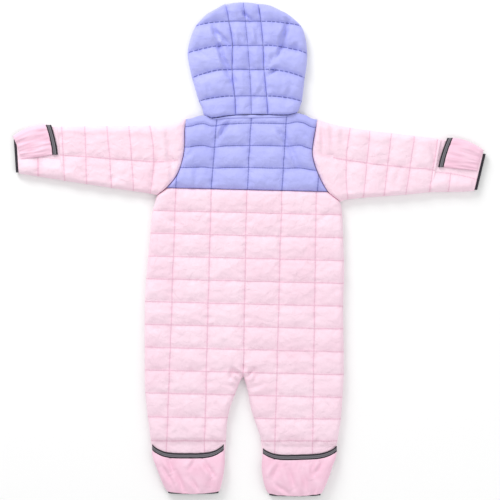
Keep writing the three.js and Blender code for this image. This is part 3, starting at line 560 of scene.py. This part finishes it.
body_rows = round((YOKE_SEAM - FEET["right"][5]) / STEP)
body_columns = 2 * round(BODY_HALF / STEP)
crotch_flat = 2 * (CROTCH - FEET["left"][5]) / (YOKE_SEAM - FEET["left"][5]) - 1
crotch_row = round((crotch_flat + 1) / 2 * body_rows) / body_rows * 2 - 1
back = panel("quilted_back", body_columns, body_rows, body_top, body_under, body_uv, tear=crotch_row)
dress(back, PINK, ["back_body"])


# ---- front, on the surface ---------------------------------------------------------------------
def front_side(side):
    index = 1 if side == "left" else 2
    inward = 1 if side == "left" else -1
    armhole = ARMHOLE[side]
    end = FEET[side][5]

    def place(u, v):
        y = mix(end, FRONT_NECK, v)
        outer = read(armhole, y, 1) if y >= armhole[-1][0] else read(SIDES, y, index)
        if y > ZIP_BOTTOM - 6:
            centre = ZIP_X - inward * GROOVE
        elif y > CROTCH:
            close = clamp((ZIP_BOTTOM - 6 - y) / 18)
            seam = mix(ZIP_X, -10, clamp((-165 - y) / 35)) - inward * 0.4
            centre = mix(ZIP_X - inward * GROOVE, seam, close)
        else:
            centre = read(INSEAM, y, index) - inward * SEWN_EDGE
        return mix(outer + inward * 0.6, centre, u), y, outer, centre

    def top(u, v):
        return (*place(u, v)[:2], FRONT_TOP)

    def under(u, v):
        x, y, outer, centre = place(u, v)
        phase = (YOKE_SEAM - y) / QUILT_ROW
        to_row = abs(phase - round(phase)) * QUILT_ROW
        to_column = min(abs(x - column_x(i, y)) for i in range(5))
        swell = dome(to_row, 0.5 * QUILT_ROW) * dome(to_column, 22)
        wrinkle = max(0.0, 0.5 * pucker(x, to_row, 12.0) + 0.4 * pucker(y, to_column, 15.0))
        rounded = 1 - roll(min(abs(x - outer), abs(x - centre), FRONT_NECK - y + 3), 8)
        return x, y, clamp(1.7 * (1 - swell) ** 1.5 + wrinkle + 4.6 * rounded, 0.0, 5.2)

    def uv(u, v):
        return quilt_uv(*place(u, v)[:2])

    name = f"quilted_front_{side}"
    piece = panel(name, round(150 / FRONT_STEP), round((FRONT_NECK - end) / FRONT_STEP), top, under, uv)
    dress(piece, PINK, [f"front_{side}"])


front_side("left")
front_side("right")


# ---- yoke ----------------------------------------------------------------------------------------
def armhole_point(side, v):
    line = ARMHOLE[side]
    low = YOKE_SEAM - FALL * line[5][1] + SEWN_EDGE
    y = mix(low, line[0][0], v)
    return read(line, y, 1), y


def yoke_place(u, v):
    left, left_y = armhole_point("left", v)
    right, right_y = armhole_point("right", v)
    x = mix(left, right, u)
    straight = mix(YOKE_SEAM - FALL * x + SEWN_EDGE, read(SHOULDER, x, 1), v)
    near = min(u, 1 - u) * 12
    return x, mix(mix(left_y, right_y, u), straight, clamp(near)), left, right


def yoke_measures(u, v):
    x, y, left, right = yoke_place(u, v)
    to_row = min(abs(v - row) for row in YOKE_ROWS) * YOKE_HEIGHT
    lines = [mix(low, top, v) for top, low in YOKE_COLUMNS]
    to_column = min(abs(x - line) for line in lines)
    return x, y, min(x - left, right - x), to_row, to_column


def yoke_top(u, v):
    x, y, to_side, to_row, to_column = yoke_measures(u, v)
    height = quilt_height(x, y, to_row, to_column, 21.0, 2.2) - PANEL_DEEPEN * trough(x, y, YOKE_CREASES)
    height = mix(min(height, STITCH_TOP - 0.4), height, clamp((0.985 - v) / 0.09))
    height = mix(BACK_UNDER + 3.4, height, dome(v * YOKE_HEIGHT, 7))
    return x, y, max(YOKE_UNDER + 0.7, mix(YOKE_UNDER + 1.2, height, roll(to_side, 10)))


def yoke_under(u, v):
    x, y, _, _ = yoke_place(u, v)
    return x, y, YOKE_UNDER


def yoke_uv(u, v):
    x = yoke_place(u, v)[0]
    lines = [mix(low, top, v) for top, low in YOKE_COLUMNS]
    across = cell_across(x, [lines[0] - QUILT_CELL] + lines + [lines[2] + QUILT_CELL])
    return across, cell_across(v, YOKE_ROWS + [1.2])


yoke = panel("quilted_yoke", round(230 / YOKE_STEP), round(118 / YOKE_STEP),
             yoke_top, yoke_under, yoke_uv)
dress(yoke, BLUE, ["yoke_back"])


def strip_place(u, v):
    x = mix(-58, 60, u)
    width = mix(4.6, 1.4, abs(2 * u - 1) ** 2)
    y = read(SHOULDER, x, 1) - 0.5 - width * (1 - v)
    return x, y


def strip_top(u, v):
    uneven = 0.2 * noise.noise(Vector((u * 26, v, 0)))
    return (*strip_place(u, v), 14.0 + 0.5 * math.sin(math.pi * v) + uneven)


strip = panel("neck_seam_strip", 60, 4, strip_top, lambda u, v: (*strip_place(u, v), 13.0),
              lambda u, v: (0.5, 0.5))
dress(strip, BLUE, ["neck_strip"])


# ---- hood ----------------------------------------------------------------------------------------
HOOD_ROW_MARKS = [  # y, row of the quilting
    (HOOD_BASE, 0), (245.6, 1), (288, 2), (326.4, 3), (364.8, 4), (392, 4.7),
]


def hood_row(level):
    return read(HOOD_ROW_MARKS, level, 1)


def hood_row_distance(level):
    return min(abs(level - mark) for mark, _ in HOOD_ROW_MARKS[1:-1])


def neck_floor(x, level):
    """The hood's lower edge follows the neck seam, and its rows straighten out above it."""
    return read(SHOULDER, clamp(x, -73, 78), 1) + 0.8 + (level - HOOD_BASE) * 0.5


def hood_height(x, y, level, to_seam, seed, crown):
    to_row = hood_row_distance(level)
    height = mix(STITCH_TOP - 1.0, PUFF_TOP + 3.2, dome(to_row, 18) * dome(to_seam, 20))
    height += pucker(x, to_row, seed) + 0.9 * pucker(y, to_seam, seed + 2)
    height += soft_uneven(x, y, seed) - PANEL_DEEPEN * trough(x, y, HOOD_CREASES)
    height = mix(BACK_UNDER + 4.0, height, dome(level - HOOD_BASE + 1, 7))
    return mix(BACK_UNDER + 2.2, height, crown)


def hood_side(side):
    seam_column, edge_column, face_column = (2, 1, 6) if side == "left" else (4, 5, 7)
    out = -1 if side == "left" else 1
    seed = 31.0 if side == "left" else 37.0
    turn = 0.56          # share of the width on top; then round the fold and underneath

    def lines(v):
        level = mix(HOOD_BASE, SIDE_TOP, v)
        seam = read(HOOD, level, seam_column) + out * SEWN_EDGE
        edge = read(HOOD, level, edge_column)
        face = read(HOOD, level, face_column)
        return level, seam, edge, face, read(HOOD, level, 8)

    def y_at(x, level, seam, edge, drop):
        fall = drop * ((x - seam) / (edge - seam)) ** 2
        floor_y = neck_floor(x, level)
        return mix(floor_y, max(floor_y, level - fall), clamp((level - HOOD_BASE) / 12))

    def top(u, v):
        level, seam, edge, face, drop = lines(v)
        crown = roll(SIDE_TOP - level, 16)
        if u <= turn:
            t = u / turn
            bend = math.sin(0.5 * math.pi * t)
            x = mix(seam, edge, bend)
            y = y_at(x, level, seam, edge, drop)
            height = hood_height(x, y, level, abs(x - seam), seed, crown)
            return x, y, mix(FOLD, height, roll(abs(edge - x), 15))
        t = (u - turn) / (1 - turn)
        x = mix(edge, face, 1 - math.cos(0.5 * math.pi * t))
        y = y_at(x, level, seam, edge, drop)
        hem = dome(abs(x - face), 3.0) if level < 366 else 1.0
        low = (1 - crown) * 3.5 + 1.1 * (1 - hem) + 0.4 * abs(soft_uneven(x, y, seed + 5))
        return x, y, mix(low, FOLD, 1 - roll(abs(edge - x), 12))

    def under(u, v):
        _, seam, edge, _, _ = lines(v)
        x, y, _ = top(u, v)
        fold_x = mix(edge, seam, min(7 / abs(edge - seam), 0.3))
        held = out * min(out * x, out * fold_x)
        if u < turn - 1e-6 and abs(held - fold_x) > 1e-6:
            return held, y, BACK_UNDER
        if abs(held - fold_x) < 1e-6:
            return held, y, FOLD if abs(u - turn) < 0.06 else (BACK_UNDER if u < turn else FRONT_TOP)
        return held, y, FRONT_TOP

    def uv(u, v):
        level, seam = lines(v)[:2]
        x, _, _ = top(u, v)
        return 0.28 + 0.5 * clamp(abs(x - seam) / 80), hood_row(level)

    piece = panel(f"hood_{side}_panel", 74, 84, top, under, uv)
    dress(piece, BLUE, [f"hood_{side}"])


hood_side("left")
hood_side("right")


def hood_centre_place(u, v):
    """v climbs from the neck to the crown, goes round it and comes a little way back underneath."""
    climb = 0.86
    if v <= climb:
        level = mix(HOOD_BASE, CROWN_TOP, math.sin(0.5 * math.pi * v / climb) * 0.35 + 0.65 * v / climb)
    else:
        level = mix(CROWN_TOP, 371, (v - climb) / (1 - climb))
    held = min(level, CROWN_HELD)
    left, centre, right = (read(HOOD, held, column) for column in (2, 3, 4))
    x = mix(left, centre, u * 2) if u < 0.5 else mix(centre, right, u * 2 - 1)
    bow = 3.2 * (2 * u - 1) ** 2 * clamp((level - 376) / 18)
    neck = mix(read(SHOULDER, x, 1) + 0.8, level, clamp((level - HOOD_BASE) / 8))
    return level, x, neck - bow, left, centre, right, v > climb


def hood_centre_top(u, v):
    level, x, y, left, centre, right, beneath = hood_centre_place(u, v)
    if beneath:
        return x, y, mix(0.0, FOLD, 1 - roll(CROWN_TOP - level, 9)) + 0.3
    to_line = min(abs(x - left), abs(x - centre), abs(x - right))
    height = hood_height(x, y, level, to_line, 43.0, 1.0)
    return x, y, mix(FOLD, height, roll(CROWN_TOP - level, 13))


def hood_centre_under(u, v):
    level, x, y, _, _, _, beneath = hood_centre_place(u, v)
    y = min(y, CROWN_HELD - 1.5)
    if level >= CROWN_HELD + 2:
        return x, y, FOLD
    return x, y, FRONT_TOP if beneath else BACK_UNDER


def hood_centre_uv(u, v):
    level, _, _, _, _, _, beneath = hood_centre_place(u, v)
    return 0.02 + u * 1.96 + 1.0, 4.5 if beneath else hood_row(level)


hood_mid = panel("hood_centre_panel", 26, 96, hood_centre_top, hood_centre_under, hood_centre_uv)
dress(hood_mid, BLUE, ["hood_centre"])


# ---- sleeves ---------------------------------------------------------------------------------------
def sleeve(side):
    table = [(i, *row) for i, row in enumerate(SLEEVE[side])]
    out = -1 if side == "left" else 1
    seed = 51.0 if side == "left" else 57.0
    armhole = ARMHOLE[side]
    span = len(table) - 1 + TO_ARMHOLE

    def line_at(s):
        """Where the stitch line along the sleeve lies between its upper and lower edges."""
        return 0.53 if side == "left" else mix(0.42, 0.7, clamp(s / 9))

    def across(v, t):
        s = v * span - TO_ARMHOLE
        held = max(0.0, s)
        top_x, top_y, low_x, low_y, bow, count = (read(table, held, c) for c in range(1, 7))
        x = mix(top_x, low_x, t) + 4 * bow * t * (1 - t)
        y = mix(top_y, low_y, t)
        if s < 0:
            arm_y = mix(armhole[0][0], armhole[-1][0], t)
            arm_x = read(armhole, arm_y, 1) + out * 0.9
            back_to = -s / TO_ARMHOLE
            x, y = mix(x, arm_x, back_to), mix(y, arm_y, back_to)
            count = mix(count, 0.0, back_to)
        return x, y, count, s

    def ring(u):
        """Round the tube: u to 0.5 is the top from upper to lower edge, then back underneath."""
        on_top = u <= 0.5
        t = u * 2 if on_top else 2 - u * 2
        return on_top, 0.5 - 0.5 * math.cos(math.pi * t)

    def top(u, v):
        on_top, t = ring(u)
        x, y, count, s = across(v, t)
        width = ARM_WIDTH if s < 5 else CUFF_WIDTH
        to_edge = min(t, 1 - t) * width
        if not on_top:
            dip = 1 - dome(abs(count - round(count)) * SLEEVE_ROW, 16)
            low = 0.5 * abs(soft_uneven(x, y, seed + 9)) + 0.5 * dip
            return x, y, mix(low, FOLD, 1 - roll(to_edge, 10))
        to_row = abs(count - round(count)) * SLEEVE_ROW if count > 0.5 else 15.0
        to_line = abs(t - line_at(s)) * width
        height = mix(STITCH_TOP, PUFF_TOP, dome(to_row, 17) * dome(to_line, 20))
        height += pucker(y, to_row, seed) + 0.8 * pucker(x, to_line, seed + 3)
        height += soft_uneven(x, y, seed) - PANEL_DEEPEN * trough(x, y, SLEEVE_CREASES[side])
        covered = clamp((s - 5.3) * 1.6) * (1 if t < 0.6 else clamp(1 - (t - 0.6) * 5))
        height = mix(height, HELD_TOP, covered)
        height = mix(BACK_UNDER + 3.4, height, dome((s + TO_ARMHOLE) * 22, 9))
        height = mix(min(height, HELD_TOP + 1), height, clamp((9 - s) * 2.2))
        return x, y, mix(FOLD, height, roll(to_edge, 11))

    def under(u, v):
        on_top, t = ring(u)
        held = clamp(t, 0.09, 0.91)
        x, y, _, _ = across(v, held)
        if t != held:
            return x, y, FOLD + (0.1 if on_top else -0.1) * clamp(min(t, 1 - t) * 30)
        return x, y, BACK_UNDER if on_top else FRONT_TOP

    def uv(u, v):
        on_top, t = ring(u)
        _, _, count, s = across(v, t)
        covered = s > 5.6 and t < 0.6
        along = 0.5 if covered else 1 + (t - line_at(s)) * 1.6
        return along, (0.5 if count < 0.6 or covered else count)

    piece = panel(f"sleeve_{side}_tube", 104, 108, top, under, uv, closed=True)
    dress(piece, PINK, [f"sleeve_{side}"])


sleeve("left")
sleeve("right")


# ---- fold-over covers with their elastic -------------------------------------------------------------
def foot_mouth(side, s, below):
    left, left_y, right, right_y, sag, _ = FEET[side]
    bend = 1 - (2 * s - 1) ** 4
    return mix(left, right, s), mix(left_y, right_y, s) - sag * bend - below


FOOT_CREASES = {
    "left": [
        (-128, -336, -122, -358, 2.6, 3.4), (-118, -352, -104, -384, 3, 4),
        (-74, -335, -56, -360, 3, 4), (-88, -336, -96, -350, 2, 3), (-140, -345, -120, -372, 2, 4),
        (-96, -360, -80, -386, 1.8, 4), (-58, -350, -62, -378, 2, 4),
    ],
    "right": [
        (48, -340, 36, -366, 2.8, 4), (60, -345, 72, -380, 3, 4.4), (98, -340, 106, -364, 2.6, 4),
        (116, -340, 104, -358, 2, 3.4), (84, -350, 92, -386, 2, 4), (40, -372, 62, -388, 1.8, 3.4),
    ],
}


def gathers(s, along, seed, count):
    """Folds that run in from an elastic, deepest at it, as uneven as hand-fed cloth."""
    wave = noise.noise(Vector((s * count, along * 1.6, seed)))
    fine = noise.noise(Vector((s * count * 2.1, along * 2.4, seed + 5)))
    return 2.6 * wave + 1.5 * fine


def band_crown(v):
    return 0.9 * math.sin(math.pi * v) ** 0.5


def turned_down(from_end):
    """How far an elastic sinks where it turns over the edge."""
    return 3.0 * (1 - roll(from_end, 7))


def binding(name, columns, place, share):
    """A bound end, round towards its outer edge, where the share is 1."""
    def half_round(v):
        return math.sqrt(max(0.0, 1 - share(v) ** 2))

    return panel(name, columns, 8, lambda u, v: (*place(u, v), 5.2 + 4.4 * half_round(v)),
                 lambda u, v: (*place(u, v), 5.0 - 4.2 * half_round(v)), lambda u, v: (u, v))


def foot(side):
    end = FEET[side][5] - 3.0
    seed = 71.0 if side == "left" else 77.0

    def cover_place(u, v):
        down = 1 - v
        mouth_x, mouth_y = foot_mouth(side, u, BAND_WIDTH - 0.4)
        uneven = 0.8 * noise.noise(Vector((u * 9, 0, seed)))
        hem_y = end + math.cos(u * 2 * math.pi) + 2.4 * abs(2 * u - 1) ** 6 + uneven
        y = mix(mouth_y, hem_y, down)
        outer = read(SIDES, y, 1 if side == "left" else 2)
        inner = read(INSEAM, y, 1 if side == "left" else 2)
        low, high = (outer - 1.2, inner + 1.0) if side == "left" else (inner - 1.0, outer + 1.2)
        return mix(mouth_x, mix(low, high, u), clamp(down * 3)), y, down

    def cover_top(u, v):
        x, y, down = cover_place(u, v)
        swell = 5.6 * math.sin(math.pi * clamp(down * 0.92 + 0.04)) ** 0.6
        at_ends = 0.25 + 0.75 * (1 - clamp(down * 3.2)) + 0.5 * clamp(down * 6 - 5)
        fold = gathers(u, down, seed, 10) * at_ends
        height = LIFT + 1.2 + swell + fold - FOOT_DEEPEN * trough(x, y, FOOT_CREASES[side])
        height = max(height, LIFT + 0.5)
        return x, y, mix(FOLD + 2.2, height, roll(min(u, 1 - u) * 112, 11))

    def cover_under(u, v):
        x, y, z = cover_top(u, v)
        return x, y, z - 1.1

    cover = panel(f"foot_{side}_cover", 84, 52, cover_top, cover_under, lambda u, v: (u, v))
    dress(cover, COVER, [f"foot_cover_{side}"])

    def band_place(u, v):
        x, y = foot_mouth(side, u, BAND_WIDTH * (1 - v))
        return x, y + 0.35 * noise.noise(Vector((u * 14, 2.0, seed)))

    def band_top(u, v):
        x, y = band_place(u, v)
        return x, y, LIFT + BAND_WALL_TOP + band_crown(v) - turned_down(min(u, 1 - u) * FOOT_MOUTH)

    def band_under(u, v):
        return (*band_place(u, v), LIFT + BAND_WALL_UNDER - turned_down(min(u, 1 - u) * FOOT_MOUTH))

    band = panel(f"foot_{side}_band", 96, 8, band_top, band_under, lambda u, v: (u * 72, v))
    dress(band, ELASTIC, [f"foot_band_{side}"])

    def hem_place(u, v):
        column = 1 if side == "left" else 2
        level = FEET[side][5]
        outer, inner = read(SIDES, level, column), read(INSEAM, level, column)
        low, high = (outer, inner) if side == "left" else (inner, outer)
        x = mix(low + 0.5, high - 0.5, u)
        width = 4.6 + 0.8 * noise.noise(Vector((u * 7, 0, seed + 2))) - 1.6 * (2 * u - 1) ** 4
        return x, level - 0.3 - width * (1 - v)

    hem = binding(f"hem_{side}_binding", 48, hem_place, lambda v: 1 - v)
    dress(hem, BINDING, [f"hem_binding_{side}"])


foot("left")
foot("right")


def hand(side):
    band_top_at, band_low_at, end_top, end_low, bulge = HANDS[side]
    out = -1 if side == "left" else 1
    seed = 81.0 if side == "left" else 87.0

    def line(start, finish, t, lean):
        return mix(start[0], finish[0], t) + 4 * lean * t * (1 - t), mix(start[1], finish[1], t)

    def band_place(u, v):
        x, y = line(band_top_at, band_low_at, u, out * -1.8)
        return x + out * BAND_WIDTH * v, y + (2.2 if u < 0.5 else 0) * (1 - u * 2)

    def band_top(u, v):
        height = LIFT + BAND_WALL_TOP + band_crown(v) - turned_down(u * HAND_MOUTH)
        return (*band_place(u, v), height)

    def band_under(u, v):
        return (*band_place(u, v), LIFT + BAND_WALL_UNDER - turned_down(u * HAND_MOUTH))

    band = panel(f"hand_{side}_band", 44, 8, band_top, band_under, lambda u, v: (u * 28, v))
    dress(band, ELASTIC, [f"hand_band_{side}"])

    def cover_place(u, v):
        near = band_place(u, 0.96)
        far = line(end_top, end_low, u, out * -2.0)
        lift_edge = bulge * math.sin(math.pi * v) ** 0.8 * clamp(1 - 2 * u)
        return mix(near[0], far[0], v), mix(near[1], far[1], v) + lift_edge

    def cover_top(u, v):
        x, y = cover_place(u, v)
        swell = 5.0 * math.sin(math.pi * clamp(v * 0.9 + 0.05)) ** 0.6 * (1 - 0.5 * u)
        fold = gathers(u, v, seed, 7) * 0.7
        height = max(LIFT + 1.0 + swell + fold, LIFT + 0.6)
        edge = roll(u * HAND_MOUTH, 10) * mix(0.6, 1, roll((1 - u) * HAND_MOUTH, 4))
        edge *= mix(0.4, 1, roll((1 - v) * 60, 6))
        return x, y, mix(FOLD + 2.0, height, edge)

    def cover_under(u, v):
        x, y, z = cover_top(u, v)
        return x, y, z - 1.0

    cover = panel(f"hand_{side}_cover", 40, 54, cover_top, cover_under, lambda u, v: (u, v))
    dress(cover, COVER, [f"hand_cover_{side}"])

    top_x, top_y, low_x, low_y = SLEEVE[side][-1][:4]

    def cuff_place(u, v):
        t = mix(0.03, 0.97, u)
        return mix(top_x, low_x, t) + out * (0.4 + 4.4 * v), mix(top_y, low_y, t)

    cuff = binding(f"cuff_{side}_binding", 36, cuff_place, lambda v: v)
    dress(cuff, BINDING, [f"cuff_binding_{side}"])


hand("left")
hand("right")


# ---- zip, under the suit -----------------------------------------------------------------------------
def zip_teeth():
    """One small bevelled tooth, repeated up both sides."""
    bm = bmesh.new()
    size = Matrix.Diagonal((*(length * MM for length in TOOTH), 1))
    for i in range(int((ZIP_TOP - ZIP_BOTTOM) / TOOTH_PITCH)):
        side = 1 if i % 2 else -1
        place = (Vector((ZIP_X + side * 0.75, ZIP_BOTTOM + 1.2 + i * TOOTH_PITCH, 6.5)) + PATTERN) * MM
        bmesh.ops.create_cube(bm, size=1.0, matrix=Matrix.Translation(place) @ size)
    bmesh.ops.bevel(bm, geom=bm.edges[:], offset=0.25 * MM, segments=1, profile=0.5,
                    affect="EDGES", material=-1)
    return finish_mesh("zip_teeth", bm)


dress(zip_teeth(), NYLON, ["zip_chain"])
for tape_side in ("left", "right"):
    low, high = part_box(f"zip_tape_{tape_side}")

    def tape_place(u, v, low=low, high=high):
        return mix(low[0], high[0], u) / MM - PATTERN.x, mix(low[1], high[1], v) / MM - PATTERN.y

    tape = panel(
        f"zip_{tape_side}_tape", 6, 90,
        lambda u, v: (*tape_place(u, v), 7.2 + 0.08 * math.sin(u * 9)),
        lambda u, v: (*tape_place(u, v), 6.6), lambda u, v: (u, v))
    dress(tape, TAPE, [f"zip_tape_{tape_side}"])
for name in ("zip_slider", "zip_pull"):
    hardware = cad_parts[name]
    hardware.data.materials.clear()
    hardware.data.materials.append(ZINC)

# ---- floor, light and camera ---------------------------------------------------------------------------
bpy.ops.mesh.primitive_plane_add(size=6, location=(0, 0, -0.0004))
floor = bpy.context.object
floor.name = "floor"
paper = bpy.data.materials.new("white paper")
paper.use_nodes = True
paper.node_tree.nodes["Principled BSDF"].inputs["Base Color"].default_value = colour("#fbfbfb")
paper.node_tree.nodes["Principled BSDF"].inputs["Roughness"].default_value = 0.9
floor.data.materials.append(paper)

world = bpy.data.worlds.new("studio")
world.use_nodes = True
world.node_tree.nodes["Background"].inputs["Color"].default_value = (1.0, 1.0, 1.0, 1.0)
world.node_tree.nodes["Background"].inputs["Strength"].default_value = 0.70
bpy.context.scene.world = world

bpy.context.scene.view_settings.view_transform = "Standard"
LIGHTS = [  # name, place, size, power
    ("key", (-1.2, 2.2, 1.4), 1.3, 46.0),
    ("fill", (1.8, -0.6, 2.4), 2.4, 18.0),
]
for name, spot, size, power in LIGHTS:
    data = bpy.data.lights.new(name, "AREA")
    data.size = size
    data.energy = power
    lamp = bpy.data.objects.new(name, data)
    lamp.location = spot
    lamp.rotation_euler = (-Vector(spot)).to_track_quat("-Z", "Y").to_euler()
    bpy.context.scene.collection.objects.link(lamp)

camera = bpy.data.objects.new("camera", bpy.data.cameras.new("camera"))
camera.data.lens = 180
camera.data.sensor_width = 36
camera.location = (0.0015, -0.0013, 4.0)
bpy.context.scene.collection.objects.link(camera)
bpy.context.scene.camera = camera
